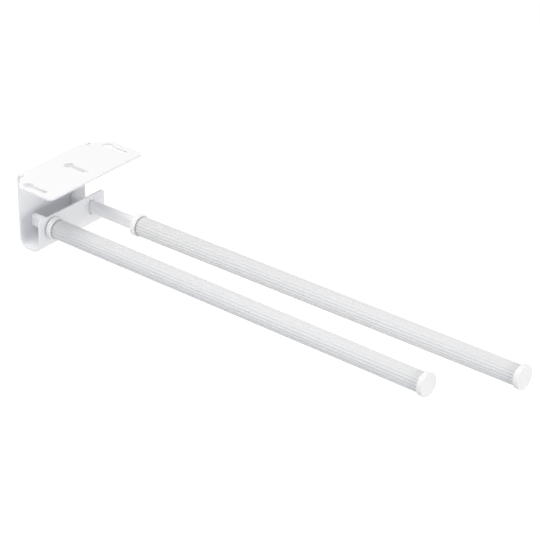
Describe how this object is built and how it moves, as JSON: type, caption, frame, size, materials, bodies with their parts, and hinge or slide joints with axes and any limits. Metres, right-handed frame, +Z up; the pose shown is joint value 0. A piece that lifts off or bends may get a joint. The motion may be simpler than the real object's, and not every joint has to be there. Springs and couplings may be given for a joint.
{
  "type": "pull-out towel rail",
  "caption": "Pull-out towel rail: a bent bracket with keyholes fixes under a worktop and carries flat-sided bars, on which fluted tubes with collars and end caps slide out.",
  "frame": {"origin": "centre of the middle keyhole's round end, on the mounting face that meets the underside of the worktop", "axes": "+Z up, out of the mounting face; +X across the bracket; the rails leave the bracket towards -Y"},
  "size_m": [0.1244, 0.5201, 0.075],
  "materials": {
    "bracket_coat": "smooth white powder coat",
    "bar_coat": "smooth white coat, semi-gloss",
    "tube_aluminium": "fluted, satin silver-white",
    "white_plastic": "moulded white, soft gloss",
    "zinc_steel": "bright zinc plate",
    "glide_plastic": "natural moulded glide plastic",
    "ring_rubber": "matt black rubber"
  },
  "bodies": {
    "bracket": {"mounting_bracket": "bracket_coat", "left_guide_bar": "bar_coat", "left_bar_screw": "zinc_steel", "left_lock_washer": "zinc_steel", "left_guide_head": "glide_plastic", "left_guide_head_screw": "zinc_steel", "right_guide_bar": "bar_coat", "right_bar_screw": "zinc_steel", "right_lock_washer": "zinc_steel", "right_guide_head": "glide_plastic", "right_guide_head_screw": "zinc_steel"},
    "left_rail": {"left_tube": "tube_aluminium", "left_collar": "white_plastic", "left_end_cap": "white_plastic", "left_friction_ring": "ring_rubber"},
    "right_rail": {"right_tube": "tube_aluminium", "right_collar": "white_plastic", "right_end_cap": "white_plastic", "right_friction_ring": "ring_rubber"}
  },
  "joints": [
    {"name": "left_pull", "type": "slide", "parent": "bracket", "child": "left_rail", "axis": [-0.0087, -1, 0], "range_m": [0, 0.28]},
    {"name": "right_pull", "type": "slide", "parent": "bracket", "child": "right_rail", "axis": [0.0087, -1, 0], "range_m": [-0.0549, 0.2251]}
  ]
}
